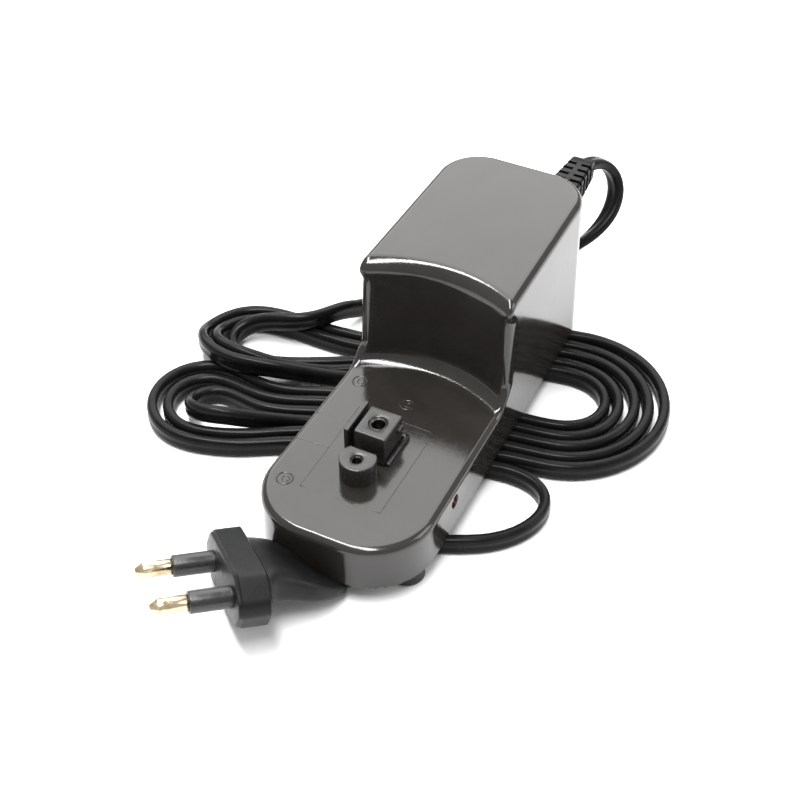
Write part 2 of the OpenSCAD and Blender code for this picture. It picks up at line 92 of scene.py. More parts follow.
def rings_mesh(rings):
    """Points and faces of a closed skin through rings of equal count, capped at both ends."""
    rows, cols = rings.shape[:2]
    faces = grid_faces(rows, cols)
    faces.append(list(range(cols))[::-1])
    last = (rows - 1) * cols
    faces.append(list(range(last, last + cols)))
    return rings.reshape(-1, 3), faces


def join_meshes(parts):
    """Several (points, faces) pairs as one, with the faces renumbered."""
    points, faces, at = [], [], 0
    for p, f in parts:
        points.append(np.asarray(p))
        faces += [[i + at for i in g] for g in f]
        at += len(p)
    return np.concatenate(points), faces


# %% [markdown]
# ## Sizes that several pieces share
# These are the same numbers as in the CAD source, in millimetres, with the underside
# of the housing at z0. A piece reads its place from here.

# %% Shared sizes
MM = 0.001
Z0, Z_DECK, Z_TOP = 5.6, 18.5, 50.0
BODY_L, FRONT_W, REAR_W, FRONT_R, REAR_R = 122.0, 46.0, 41.6, 17.3, 12.6
WALL, STEP_Y, STEP_R, EDGE_R, STEP_EDGE_R, FILLET_R = 2.2, 6.4, 37.5, 2.0, 3.8, 4.2
BLOCK = (-0.9, -27.0)
POST = (-1.1, -37.6)
BOOT = (9.5, 39.5)
TILT = np.arctan2((FRONT_W - REAR_W) / 2, BODY_L)
lo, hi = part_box("upper_shell")
print("housing box from the frame, mm", [round(v * 1000, 1) for v in (*lo, *hi)])

# %% [markdown]
# ## Camera
# The object is seen from its front right, well above it, with a normal lens. The
# camera is placed by numbers: its distance, height and turn fix the perspective,
# so they were found once and stay.

# %% Camera
cam_data = bpy.data.cameras.new("camera")
cam_data.lens = 71.2476
cam_data.sensor_width = 36.0
cam_data.clip_start = 0.01
camera = bpy.data.objects.new("camera", cam_data)
camera.location = (0.1289, -0.2770, 0.2945)
camera.rotation_euler = (np.radians(90 - 42.708), 0.0, np.radians(26.355))
scene.collection.objects.link(camera)
scene.camera = camera
print("camera at", tuple(round(v, 3) for v in camera.location))

# %% [markdown]
# ## Light and floor
# Glossy black plastic shows its surroundings more than its own colour, so the light
# is an even white room and one large soft panel behind and above, which the top faces
# mirror. A long strip overhead draws thin bright lines along the rounded edges. The floor is plain and pale.

# %% Light and floor
scene.view_settings.view_transform = "Standard"
world = bpy.data.worlds.new("room")
scene.world = world
world.use_nodes = True
ROOM_LIGHT = 0.62
room = world.node_tree.nodes["Background"].inputs
room["Color"].default_value = (1.0, 1.0, 1.0, 1.0)
room["Strength"].default_value = ROOM_LIGHT


def panel(name, place, aim, size, watts):
    """A rectangular area light at a place, turned to look at aim."""
    light = bpy.data.lights.new(name, "AREA")
    light.shape = "RECTANGLE"
    light.size, light.size_y = size
    light.energy = watts
    obj = bpy.data.objects.new(name, light)
    place, aim = np.array(place, float), np.array(aim, float)
    back = (place - aim) / np.linalg.norm(place - aim)
    right = np.cross((0, 0, 1), back)
    right /= np.linalg.norm(right)
    up = np.cross(back, right)
    m = np.eye(4)
    m[:3, 0], m[:3, 1], m[:3, 2], m[:3, 3] = right, up, back, place
    scene.collection.objects.link(obj)
    obj.matrix_world = Matrix(m.tolist())
    return obj


panel("rear_panel", (-0.42, 0.84, 0.90), (0, 0, 0.03), (1.4, 1.1), 17.0)
panel("overhead_strip", (-0.12, -0.12, 1.2), (0, 0, 0), (1.3, 0.2), 30.0)
panel("right_panel", (0.9, 0.35, 0.55), (0, 0, 0.02), (0.5, 0.6), 4.0)

points = np.array([[-3, -3, 0], [3, -3, 0], [3, 3, 0], [-3, 3, 0]], float)
floor = piece("floor", points, [[0, 1, 2, 3]], body=None, smooth=False)

# %% [markdown]
# ## Procedural finishes: helpers
# Each finish is a Principled shader whose colour, roughness and bump come from noise
# in Object coordinates, so that it needs no pictures and stays put on the piece.

# %% Finish helpers
def finish(name):
    """A new node material: returns it, its tree, its Principled node and its Object coordinates."""
    mat = bpy.data.materials.new(name)
    mat.use_nodes = True
    tree = mat.node_tree
    shader = tree.nodes["Principled BSDF"]
    coords = tree.nodes.new("ShaderNodeTexCoord").outputs["Object"]
    return mat, tree, shader, coords


def noise(tree, coords, scale, detail=4.0, rough=0.55, distortion=0.0, stretch=None):
    """Noise at a scale in waves per metre; stretch scales the coordinates first."""
    if stretch:
        m = tree.nodes.new("ShaderNodeMapping")
        m.inputs["Scale"].default_value = stretch
        tree.links.new(coords, m.inputs["Vector"])
        coords = m.outputs["Vector"]
    n = tree.nodes.new("ShaderNodeTexNoise")
    n.inputs["Scale"].default_value = scale
    n.inputs["Detail"].default_value = detail
    n.inputs["Roughness"].default_value = rough
    n.inputs["Distortion"].default_value = distortion
    tree.links.new(coords, n.inputs["Vector"])
    return n.outputs["Fac"]


def remap(tree, value, low, high, to_low, to_high):
    """A value stretched from one range to another and held inside it."""
    r = tree.nodes.new("ShaderNodeMapRange")
    for socket, v in zip(("From Min", "From Max", "To Min", "To Max"), (low, high, to_low, to_high)):
        r.inputs[socket].default_value = v
    tree.links.new(value, r.inputs["Value"])
    return r.outputs["Result"]


def two_tone(tree, value, dark, light):
    """A colour ramp between two colours over the middle of a value's range."""
    r = tree.nodes.new("ShaderNodeValToRGB")
    r.color_ramp.elements[0].position, r.color_ramp.elements[1].position = 0.35, 0.65
    r.color_ramp.elements[0].color = (*dark, 1)
    r.color_ramp.elements[1].color = (*light, 1)
    tree.links.new(value, r.inputs["Fac"])
    return r.outputs["Color"]


def bump(tree, shader, height, strength, distance, before=None):
    """Bump of a height in metres, on top of another bump where one is given."""
    b = tree.nodes.new("ShaderNodeBump")
    b.inputs["Strength"].default_value = strength
    b.inputs["Distance"].default_value = distance
    tree.links.new(height, b.inputs["Height"])
    if before:
        tree.links.new(before, b.inputs["Normal"])
    tree.links.new(b.outputs["Normal"], shader.inputs["Normal"])
    return b.outputs["Normal"]


def math(tree, op, a, b=None):
    """One Math node of two values or numbers."""
    m = tree.nodes.new("ShaderNodeMath")
    m.operation = op
    for i, v in enumerate((a, b)):
        if v is None:
            continue
        if isinstance(v, (int, float)):
            m.inputs[i].default_value = v
        else:
            tree.links.new(v, m.inputs[i])
    return m.outputs[0]


def moulded(name, dark, light, rough=(0.3, 0.45), grain=1500.0, grain_depth=0.00002, spec=0.5):
    """A moulded plastic or rubber: patchy tone, uneven gloss and a fine grain."""
    mat, tree, shader, coords = finish(name)
    patch = noise(tree, coords, 90.0, 5.0, 0.6)
    tree.links.new(two_tone(tree, patch, dark, light), shader.inputs["Base Color"])
    tree.links.new(remap(tree, noise(tree, coords, 320.0, 4.0), 0.3, 0.7, *rough), shader.inputs["Roughness"])
    shader.inputs["Specular IOR Level"].default_value = spec
    bump(tree, shader, noise(tree, coords, grain, 3.0, 0.6), 0.5, grain_depth)
    return mat


def metal(name, dark, light, rough=(0.15, 0.3), lines=None):
    """A bare metal with tarnish patches and, where lines is given, turned or drawn marks."""
    mat, tree, shader, coords = finish(name)
    shader.inputs["Metallic"].default_value = 1.0
    tree.links.new(two_tone(tree, noise(tree, coords, 350.0, 5.0), dark, light), shader.inputs["Base Color"])
    mark = noise(tree, coords, 900.0, 4.0, 0.6, stretch=lines or (1, 1, 1))
    tree.links.new(remap(tree, mark, 0.3, 0.7, *rough), shader.inputs["Roughness"])
    bump(tree, shader, mark, 0.35, 0.00001)
    return mat


mat, tree, shader, coords = finish("pale_floor")
tree.links.new(two_tone(tree, noise(tree, coords, 60.0), (0.83, 0.83, 0.83), (0.86, 0.86, 0.86)), shader.inputs["Base Color"])
shader.inputs["Roughness"].default_value = 0.6
floor.data.materials.append(mat)

# %% [markdown]
# ## The cord: its route
# The cord is one flat twin lead. It comes out of the rear boot, drops, lies in loops
# that pass under the housing in one layer, and ends at the plug. A route like this is
# a list of lanes and arcs seen from above. Each of its three turns bends like a
# kidney: a lower left lobe, back to the right, an upper left lobe, and round the
# right side. The turns lie one inside the other, so no strands cross under the
# housing. Each strand stands on its narrow edge.
# The strands are listed from the plug end, because a strand laid later rests on the
# earlier ones it crosses, as it would when a hand folds the cord.

# %% Cord route seen from above
def arc(centre, radius, start, end, end_radius=None, count=22):
    """Points on a circle about centre from one angle to another, in degrees; the radius may change on the way."""
    f = np.linspace(0, 1, count)
    s = np.clip((f - 0.15) / 0.6, 0, 1)
    r = radius + ((end_radius or radius) - radius) * s * s * (3 - 2 * s)
    a = np.radians(start + (end - start) * f)
    return np.stack([centre[0] + r * np.cos(a), centre[1] + r * np.sin(a)], axis=1)


RIGHT, UPPER, LOWER, LOW_MID, LOW_IN = (29.5, 25.2), (-59.0, 8.4), (-57.5, -18.6), (-57.2, -19.4), (-54.4, -19.4)
flat_route = np.concatenate([
    [[4.4, -59.6], [6.2, -57.2], [7.4, -54.4], [8, -51.2], [8.8, -47], [11, -42.5], [15, -39], [20, -36.6],
     [25, -34.6], [30, -32.2], [34.2, -29], [37.4, -25], [39.6, -20.5], [40.6, -15.5], [39.8, -11],
     [37.4, -8], [33.6, -6.4], [28, -5.8], [22, -6.6], [14, -9.4], [0, -14], [-24, -19.2], [-33, -24], [-42, -30]],
    arc(LOWER, 15.4, -72, -262),
    [[-50, -5.8], [-42, -6.4], [-33, -2.0], [-24, 2.0], [0, 7.0], [14, 12.2]],
    arc(RIGHT, 11.4, -94, 114),
    [[14, 33.4], [0, 24.0], [-24, 9.0], [-33, 3.6], [-42, -1.4], [-50, -4.8]],
    arc(UPPER, 14.3, -84, -268),
    [[-50, 23.0], [-42, 22.6], [-33, 23.2], [-24, 25.6], [0, 40.8], [14, 48.8]],
    arc(RIGHT, 27.2, 104, -94, 26.5),
    [[14, -4.2], [0, -9.6], [-24, -14.8], [-33, -19.6], [-42, -25.6]],
    arc(LOW_MID, 11.2, -72, -262),
    [[-50, -10.4], [-42, -10.6], [-33, -6.4], [-24, -2.2], [0, 2.9], [14, 8.4]],
    arc(RIGHT, 15.3, -94, 112, 14.6),
    [[14, 37.4], [0, 28.2], [-24, 13.0], [-33, 7.4], [-42, 2.6], [-50, -0.9]],
    arc(UPPER, 10.7, -84, -268),
    [[-50, 19.2], [-42, 18.8], [-33, 19.2], [-24, 21.4], [0, 36.6], [14, 45.0]],
    arc(RIGHT, 22.4, 104, -94, 22.9),
    [[14, 0.2], [0, -5.4], [-24, -10.6], [-33, -15.4], [-42, -21.5]],
    arc(LOW_IN, 7.9, -66, -262),
    [[-48, -14.2], [-42, -14.8], [-33, -11.0], [-24, -6.4], [0, -1.2], [14, 4.4]],
    arc(RIGHT, 18.8, -94, 108, 19.0),
    [[14, 41.2], [0, 32.4], [-24, 17.0], [-33, 11.4], [-42, 6.6], [-50, 3.0]],
    arc(UPPER, 7.1, -84, -264),
    [[-55, 15.3], [-50, 15.9], [-46, 18.2], [-43, 22], [-41, 27], [-39.3, 32.3], [-37.5, 38], [-34.5, 45], [-30.5, 52], [-25.5, 58], [-20, 61.5]],
])
print("route corners seen from above:", len(flat_route))


# %% [markdown]
# A list of corners has kinks, so it is resampled evenly and smoothed: each pass moves
# a point to the mean of itself and its neighbours, which is what bending stiffness
# does to a real cord. Then the heights are found by laying the cord down in order.

# %% Smoothing and laying down
def even(points, step):
    """The same line with points one step apart, by straight interpolation along its length."""
    d = np.r_[0, np.cumsum(np.linalg.norm(np.diff(points, axis=0), axis=1))]
    at = np.linspace(0, d[-1], int(round(d[-1] / step)) + 1)
    return np.stack([np.interp(at, d, points[:, k]) for k in range(points.shape[1])], axis=1)


def smooth_line(points, passes):
    """Each inner point moved to the mean of itself and its two neighbours, many times over."""
    p = points.copy()
    for _ in range(passes):
        p[1:-1] = (p[:-2] + 2 * p[1:-1] + p[2:]) / 4
    return p


# half width and half thickness of the twin lead, and the spacing of its route points
CORD_A, CORD_B, ROUTE_STEP = 2.7, 1.6, 1.5
plan = smooth_line(even(flat_route, ROUTE_STEP), 14)


def lay_down(plan, base, lift, near=2.85, slope=0.27, step=ROUTE_STEP):
    """Heights of a line laid in order: base, or lift above any earlier strand within near, then eased to a gentle slope."""
    n = len(plan)
    z = np.full(n, base)
    block = 10
    skip = int(24 / step)
    s = np.arange(n) * step
    for first in range(0, n, block):
        here = slice(first, min(first + block, n))
        done = max(0, first - skip)
        if done:
            gap = np.linalg.norm(plan[here, None] - plan[None, :done], axis=2)
            want = np.where(gap < near, z[None, :done] + lift, base).max(axis=1)
            z[here] = want
            reach = want[:, None] - np.maximum(np.abs(s[here, None] - s[None, :]) - 1.5, 0) * slope
            z = np.where(s >= s[done], np.maximum(z, np.where(s[None, :] >= s[done], reach, 0).max(axis=0)), z)
    return z


heights = lay_down(plan, CORD_A, 2 * CORD_A + 0.15)
heights = smooth_line(heights[:, None], 10)[:, 0]
heights = np.maximum(heights, CORD_A)
under = (np.abs(plan[:, 0]) < 22.5) & (np.abs(plan[:, 1]) < 61)
print("laid length mm", round(float(len(plan) * ROUTE_STEP)), "highest", round(float(heights.max()), 1),
      "highest under the housing", round(float(heights[under].max()), 2))

# %% [markdown]
# The last stretch climbs from the floor behind the housing to the boot, in a hanging
# bulge. It is given in three coordinates, because nothing lies under it.

# %% The drop behind the housing
drop = np.array([[-24, 57.5, 2.8], [-20, 61.5, 3], [-14, 65, 3.6], [-8, 68, 5], [-2, 70.5, 7], [3, 72, 9.5],
                 [8, 74, 12.5], [12, 76.5, 15.5], [15, 80, 18.5], [17, 84, 21.5], [17.5, 88, 24.5],
                 [17, 91, 28], [15.5, 92, 31.5], [13.5, 91, 35], [11.5, 88, 37.5], [10, 84, 39], [9.5, 79, 39.5]], float)
on_floor = np.c_[plan, heights]
on_floor = on_floor[: int(np.argmin(np.linalg.norm(plan - drop[0, :2], axis=1)))]
route = even(np.concatenate([[[4.4, -59.6, 2.9]], on_floor[2:], drop]), ROUTE_STEP)
route = smooth_line(route, 8)[::-1]


# %% [markdown]
# ## The cord: its skin
# A flat twin lead is two round cores side by side under one black sheath, so its
# section is a figure eight with a shallow waist. The section is a closed profile
# carried along the route. On the floor its long axis stands upright; in the drop it
# lies across, because a flat cord bends only about its long axis.

# %% Cord skin
def tube_frames(line, side):
    """Unit tangents, the long axis (side made square to the tangent) and the axis square to both."""
    t = np.gradient(line, axis=0)
    t /= np.linalg.norm(t, axis=1, keepdims=True)
    u = side - (side * t).sum(axis=1, keepdims=True) * t
    u /= np.linalg.norm(u, axis=1, keepdims=True)
    return t, u, np.cross(t, u)


def twin_section(count):
    """Half widths of a figure eight: a long ellipse whose middle is drawn in by a narrow waist."""
    a = np.linspace(0, 2 * np.pi, count, endpoint=False)
    u = CORD_A * np.sign(np.cos(a)) * np.abs(np.cos(a)) ** 0.8
    waist = 1 - 0.20 * np.exp(-((u / 0.62) ** 2))
    v = CORD_B * np.sign(np.sin(a)) * np.abs(np.sin(a)) ** 0.62 * waist
    return u, v


def carry(line, long_axis, short_axis, u, v):
    """Rings of a section (u along the long axis, v along the short one) at each point of a line."""
    u, v = np.broadcast_to(u, (len(line), np.shape(u)[-1])), np.broadcast_to(v, (len(line), np.shape(v)[-1]))
    return line[:, None] + u[..., None] * long_axis[:, None] + v[..., None] * short_axis[:, None]


w = np.clip((26 - route[:, 2:3]) / 20, 0, 1) * (route[:, 1:2] > 55) + (route[:, 1:2] <= 55)
w = smooth_line(w, 12)
near_plug = smooth_line(np.clip((-52 - route[:, 1:2]) / 9, 0, 1), 6)
IN_DROP, UPRIGHT, ACROSS_PLUG = np.array([0.86, -0.45, 0.15]), np.array([0.0, 0.0, 1.0]), np.array([0.643, -0.68, 0.352])
side = (1 - w) * IN_DROP + w * (1 - near_plug) * UPRIGHT + near_plug * ACROSS_PLUG
_, long_axis, short_axis = tube_frames(route, side)
u, v = twin_section(32)
cord_points, cord_faces = rings_mesh(carry(route, long_axis, short_axis, u, v) * MM)
cord = piece("mains_cord", cord_points, [f[::-1] for f in cord_faces], slot="cord_pvc", stands_for=("cord_tail", "cord_hank", "cord_lead"))

# %% [markdown]
# ## The housing: a shape from a distance formula
# The housing is one moulding whose faces blend: rounded plan, low deck, hollow step
# wall, soft edges, and a fillet where wall meets deck. One grid of two parameters
# cannot follow all those blends, so this piece is made another way. A formula says for
# any point how far it is from the skin, negative inside. Rounded joins of such
# distances are short formulas too. The skin is then read off a grid of samples.

# %% Housing distance formula
def round_and(a, b, r):
    """Inside both a and b, with the edge between them rounded to radius r."""
    u, v = a + r, b + r
    return np.minimum(np.maximum(u, v), 0) + np.hypot(np.maximum(u, 0), np.maximum(v, 0)) - r


def round_or(a, b, r):
    """Inside a or b, with a fillet of radius r in the corner between them."""
    return np.maximum(r, np.minimum(a, b)) - np.hypot(np.maximum(r - a, 0), np.maximum(r - b, 0))


def corner_x(y, r):
    """x of the centre of a corner circle of radius r, so that it touches the slanted side."""
    half = FRONT_W / 2 - (y + BODY_L / 2) * np.tan(TILT)
    return half - r / np.cos(TILT)


def plan_distance(x, y):
    """Distance to the rounded plan: straight sides that lean in towards the rear, and four corner arcs."""
    x = np.abs(x)
    fy, ry = -BODY_L / 2 + FRONT_R, BODY_L / 2 - REAR_R
    fx, rx = corner_x(fy, FRONT_R), corner_x(ry, REAR_R)
    c, s = np.cos(TILT), np.sin(TILT)
    side = (x - fx) * c + (y - fy) * s - FRONT_R
    d = np.maximum(side, np.maximum(-BODY_L / 2 - y, y - BODY_L / 2))
    front = (((x - fx) * s - (y - fy) * c) > 0) & (x > fx)
    rear = ((-(x - rx) * s + (y - ry) * c) > 0) & (x > rx)
    d = np.where(front, np.hypot(x - fx, y - fy) - FRONT_R, d)
    return np.where(rear, np.hypot(x - rx, y - ry) - REAR_R, d)


def ramp(v, a, b):
    """0 below a, 1 above b, smooth between."""
    f = np.clip((v - a) / (b - a), 0, 1)
    return f * f * (3 - 2 * f)


def outer_distance(x, y, z):
    """The moulding's outside without its open bottom: drafted plan, and a stepped profile with a hollow wall."""
    around = plan_distance(x, y) + 0.0155 * (z - Z0)
    wall = STEP_R - np.hypot(x, y - (STEP_Y - STEP_R)) + 0.02 * (z - Z_DECK)
    step = round_or(round_and(wall, z - Z_TOP, STEP_EDGE_R), z - Z_DECK, FILLET_R)
    shoulder = 2.6 * ramp(z, Z_DECK + 1, Z_DECK + 6) * (1 - ramp(z, Z_TOP - 7, Z_TOP - 2)) * (1 - ramp(np.abs(wall), 5, 9))
    return round_and(around, step, EDGE_R + shoulder)


def box_distance(x, y, z, centre, half):
    """Distance to an upright box."""
    q = [np.abs(v - c) - h for v, c, h in zip((x, y, z), centre, half)]
    return np.maximum(np.maximum(q[0], q[1]), q[2])


SCREWS = ((-16, -18), (16, -18), (-15.5, 44), (15.5, 44))


def housing_distance(p):
    """The finished shell: outside, hollowed by its wall, with screw bosses, openings and a rim step."""
    x, y, z = p[..., 0], p[..., 1], p[..., 2]
    outside = outer_distance(x, y, z)
    shell = np.maximum(outside, -(outside + WALL))
    for sx, sy in SCREWS:
        r = np.hypot(x - sx, y - sy)
        boss = np.maximum(np.maximum(r - 3.0, 7.9 - z), outside + 0.5)
        shell = np.minimum(shell, boss)
        shell = np.maximum(shell, -np.maximum(r - 1.25, z - 14.6))
    shell = np.maximum(shell, Z0 - z)
    shell = np.maximum(shell, -np.maximum(plan_distance(x, y) + 1.1, z - 7.65))
    shell = np.maximum(shell, -box_distance(x, y, z, (*BLOCK, Z_DECK), (4.45, 5.15, 4)))
    shell = np.maximum(shell, -np.maximum(np.hypot(x - POST[0], y - POST[1]) - 2.25, np.abs(z - Z_DECK) - 4))
    shell = np.maximum(shell, -np.maximum(np.hypot(y + 31.6, z - Z0 - 8.6) - 1.7, 18 - x))
    return np.maximum(shell, -box_distance(x, y, z, (BOOT[0], 61, BOOT[1]), (3.65, 4, 3.25)))


# %% [markdown]
# The samples become a mesh in two steps. Every grid cell that the skin passes through
# gets one point, the mean of the places where it crosses the cell's edges. Then each
# point is moved down the slope of the formula until it lies on the skin exactly, and
# quads join the four cells round every crossed edge. All of it works on whole arrays.

# %% Skin of a distance formula
def skin(distance, low, high, step):
    """Points and quads of the zero surface of distance(points), sampled on a grid between two corners."""
    n = [int(np.ceil((b - a) / step)) + 1 for a, b in zip(low, high)]
    axes = [a + step * np.arange(k) for a, k in zip(low, n)]
    grid = np.stack(np.meshgrid(*axes, indexing="ij"), axis=-1)
    f = distance(grid).astype(np.float64)
    inside = f < 0
    corners = [(i, j, k) for i in (0, 1) for j in (0, 1) for k in (0, 1)]
    part = [inside[i : n[0] - 1 + i, j : n[1] - 1 + j, k : n[2] - 1 + k] for i, j, k in corners]
    mixed = np.any(part, axis=0) & ~np.all(part, axis=0)
    cell = np.argwhere(mixed)
    total, count = np.zeros((len(cell), 3)), np.zeros((len(cell), 1))
    for c in corners:
        for axis in range(3):
            if c[axis]:
                continue
            e = np.eye(3, dtype=int)[axis]
            p, q = cell + c, cell + c + e
            a, b = f[tuple(p.T)], f[tuple(q.T)]
            cut = (a < 0) != (b < 0)
            t = np.where(cut, a / np.where(cut, a - b, 1), 0)[:, None]
            total += np.where(cut[:, None], p + t * e, 0)
            count += cut[:, None]
    points = np.array(low) + step * total / count
    eps = 0.02
    for _ in range(3):
        d = distance(points)
        g = np.stack([(distance(points + eps * e) - distance(points - eps * e)) / (2 * eps) for e in np.eye(3)], axis=1)
        move = -d[:, None] * g / np.maximum((g * g).sum(axis=1, keepdims=True), 0.25)
        points += np.clip(move, -0.4 * step, 0.4 * step)
    number = np.full(mixed.shape, -1)
    number[tuple(cell.T)] = np.arange(len(cell))
    faces = []
    for axis in range(3):
        u, v = [e for e in range(3) if e != axis]
        sl = [slice(1, n[k] - 1) for k in range(3)]
        sl[axis] = slice(0, n[axis] - 1)
        nx = list(sl)
        nx[axis] = slice(1, n[axis])
        a, b = inside[tuple(sl)], inside[tuple(nx)]
        at = np.argwhere(a != b) + [1 if k != axis else 0 for k in range(3)]
        first_in = inside[tuple(at.T)]
        eu, ev = np.eye(3, dtype=int)[u], np.eye(3, dtype=int)[v]
        quad = np.stack([number[tuple((at - du * eu - dv * ev).T)] for du, dv in ((1, 1), (0, 1), (0, 0), (1, 0))], axis=1)
        turn = first_in if axis != 1 else ~first_in
        quad[~turn] = quad[~turn][:, ::-1]
        faces.append(quad)
    return points, np.concatenate(faces)


hp, hf = skin(housing_distance, (-24.3, -62.3, 4.4), (24.3, 62.3, 51.2), 0.62)
housing = piece("housing_skin", hp * MM, hf, slot="housing_abs", stands_for=("upper_shell",))

# %% [markdown]
# Smooth shading guesses how the skin turns from its neighbouring faces, which makes
# tiny ripples in a gloss. The distance formula knows the exact direction: it is the
# slope of the distance, so that is stored as each point's normal.

# %% Exact normals
def slope(distance, p, eps=0.05):
    """Unit direction in which the distance grows fastest."""
    g = np.stack([distance(p + eps * e) - distance(p - eps * e) for e in np.eye(3)], axis=1)
    return g / np.maximum(np.linalg.norm(g, axis=1, keepdims=True), 1e-9)


housing.data.normals_split_custom_set_from_vertices(slope(housing_distance, hp).tolist())
print("housing wall sampled", len(hp), "points; box mm", hp.min(axis=0).round(1), hp.max(axis=0).round(1))

# %% [markdown]
# ## Small moulded blocks: rings
# The block with the drilled hole, the D-shaped post and their metal liners are stacks
# of rings: outlines at rising heights that turn in at the rounded top edge, go down
# the bore and close at its bottom. Every ring has the same number of points, so a
# square outline can pass smoothly into a round hole.

# %% Ring outlines
COUNT = 64
ANGLE = np.linspace(0, 2 * np.pi, COUNT, endpoint=False) + np.pi / COUNT


def rounded_box(w, l, r):
    """A rectangle with corner radius r: each point sits on its corner's circle at its own angle."""
    sx, sy = np.sign(np.cos(ANGLE)), np.sign(np.sin(ANGLE))
    return np.stack([sx * (w / 2 - r) + r * np.cos(ANGLE), sy * (l / 2 - r) + r * np.sin(ANGLE)], axis=1)


def circle(r):
    """A circle of the same count."""
    return r * np.stack([np.cos(ANGLE), np.sin(ANGLE)], axis=1)


def stack(outlines, heights, centre=(0, 0)):
    """Rings at rising or falling heights from a list of outlines."""
    o = np.stack(outlines)
    z = np.broadcast_to(np.asarray(heights, float)[:, None], o.shape[:2])
    return np.concatenate([o + np.asarray(centre), z[..., None]], axis=-1)


def edge_turn(make, top, r, steps=5):
    """Outlines and heights that round a top edge: a quarter turn inwards of radius r."""
    a = np.linspace(0, np.pi / 2, steps)
    return [make(r * (1 - np.cos(t))) for t in a], [top - r + r * np.sin(t) for t in a]


# %% [markdown]
# The drilled block is the part that moves. Below the deck it widens to a flange that
# stops it from coming out, and a short stem pushes the lever. Its two lugs start high
# enough to stay above the deck when the block is fully down.

# %% Drilled block
top = Z_DECK + 8.4
outs, hs = edge_turn(lambda g: rounded_box(8.6 - 2 * g, 10 - 2 * g, 0.45), top, 0.35)
outs = [rounded_box(10.6, 11.2, 0.4)] * 2 + [rounded_box(8.6, 10, 0.45)] * 2 + outs
outs += [circle(r) for r in (2.62, 2.5, 2.22, 2.2, 2.2)]
hs = [14.6, 16.05, 16.1, top - 4] + hs + [top, top - 0.06, top - 0.3, top - 0.6, 17.5]
p, f = rings_mesh(stack(outs, hs, BLOCK) * MM)
LUG_LOW = Z_DECK + 5.45


def slab(w, l, heights, dx, dy, r=0.25, inner=0.2):
    """An upright slab with corner radius r and a narrow bevel round its top, at an offset from the block's middle."""
    outlines = [rounded_box(w, l, r)] * 2 + [rounded_box(w - 0.3, l - 0.3, inner)]
    return stack(outlines, heights, (BLOCK[0] + dx, BLOCK[1] + dy))


rear_lug = slab(2.6, 1.1, [LUG_LOW, top - 1.3, top - 1.15], 2.2, 5.2)
side_lug = slab(1.3, 2.6, [LUG_LOW, top - 1.9, top - 1.75], 4.5, 2.6)
stem = stack([circle(1.5)] * 2, [13.2, 14.9], BLOCK)
parts = [(p, f), *(rings_mesh(q * MM) for q in (rear_lug, side_lug, stem))]
block = piece("plunger_block", *join_meshes(parts), body="plunger", slot="block_black", stands_for=("plunger",), smooth=False)

# %% [markdown]
# A metal sleeve lines the block's bore; its near-black colour is painted shade for
# the dark inside of the bore. It is the same kind of ring stack, and it rides with the block.

# %% Block liner
outs = [circle(r) for r in (2.2, 2.2, 2.12, 1.98, 1.86, 1.68, 1.6, 1.6)]
hs = [17.5, top - 0.55, top - 0.42, top - 0.38, top - 0.42, top - 0.62, top - 0.8, 18.5]
liner = piece("block_liner", *rings_mesh(stack(outs, hs, BLOCK) * MM), body="plunger", slot="contact_metal", stands_for=("plunger_insert",))

# %% [markdown]
# The post beside the block doesn't move. Its outline is a circle with one side cut
# flat, which passes into a round bore at the top.

# %% D-shaped post
def d_shape(r, flat):
    """A circle cut off flat at y = flat."""
    x, y = r * np.cos(ANGLE), r * np.sin(ANGLE)
    over = y > flat
    edge = np.sqrt(max(r * r - flat * flat, 0)) - 0.5 * 0.3
    return np.stack([np.where(over, np.clip(x * 1.6, -edge, edge), x), np.minimum(y, flat)], axis=1)


top_p = Z_DECK + 5.8
outs, hs = edge_turn(lambda g: d_shape(4.7 - g, 3.0 - g), top_p, 0.3)
outs = [circle(2.2), circle(2.2), d_shape(4.7, 3.0), d_shape(4.7, 3.0)] + outs
hs = [Z_DECK - 2.2, Z_DECK - 0.02, Z_DECK + 0.0, top_p - 2] + hs
bore = [circle(r) + np.array([0, -0.6]) for r in (1.75, 1.6, 1.45, 1.4, 1.4)]
outs, hs = outs + bore, hs + [top_p, top_p - 0.1, top_p - 0.3, top_p - 0.5, Z_DECK - 0.5]
post = piece("d_post", *rings_mesh(stack(outs, hs, POST) * MM), slot="block_black", stands_for=("stop_post",), smooth=False)
# The post's liner wears the same near-black metal, painted shade for the inside of its bore.
outs = [circle(r) for r in (1.4, 1.4, 1.3, 1.2, 1.2)]
hs = [Z_DECK - 0.5, top_p - 0.6, top_p - 0.55, top_p - 0.7, Z_DECK + 0.3]
post_liner = piece("post_liner", *rings_mesh(stack(outs, hs, (POST[0], POST[1] - 0.6)) * MM), slot="contact_metal", stands_for=("post_insert",))

# %% [markdown]
# A tall wall and two low ledges stand on the deck round the block and guide it. They
# are plain slabs, so each is three outlines, the last a little smaller for a bevel.

# %% Collar beside the block
low = [Z_DECK - 0.3, Z_DECK + 1.1, Z_DECK + 1.2]
left = slab(1.2, 11.6, [Z_DECK - 0.3, top - 0.12, top], -6.1, 0.1, r=0.3)
rear = slab(11.9, 1.3, low, -0.7, 6.0, r=0.3)
right = slab(1.0, 11.6, low, 5.1, 0.6, r=0.3)
parts = [rings_mesh(q * MM) for q in (left, rear, right)]
collar = piece("block_collar", *join_meshes(parts), slot="block_black", stands_for=("guide_collar",), smooth=False)

# %% [markdown]
# The flat-sided blocks are shaded flat where faces meet at a real corner and smooth
# where the angle is small. Marking edges sharp by their angle does both at once.

# %% Sharp corners
for obj in (block, post, collar):
    obj.data.shade_smooth()
    obj.data.set_sharp_from_angle(angle=np.radians(35))
print("corners marked on", [o.name for o in (block, post, collar)])

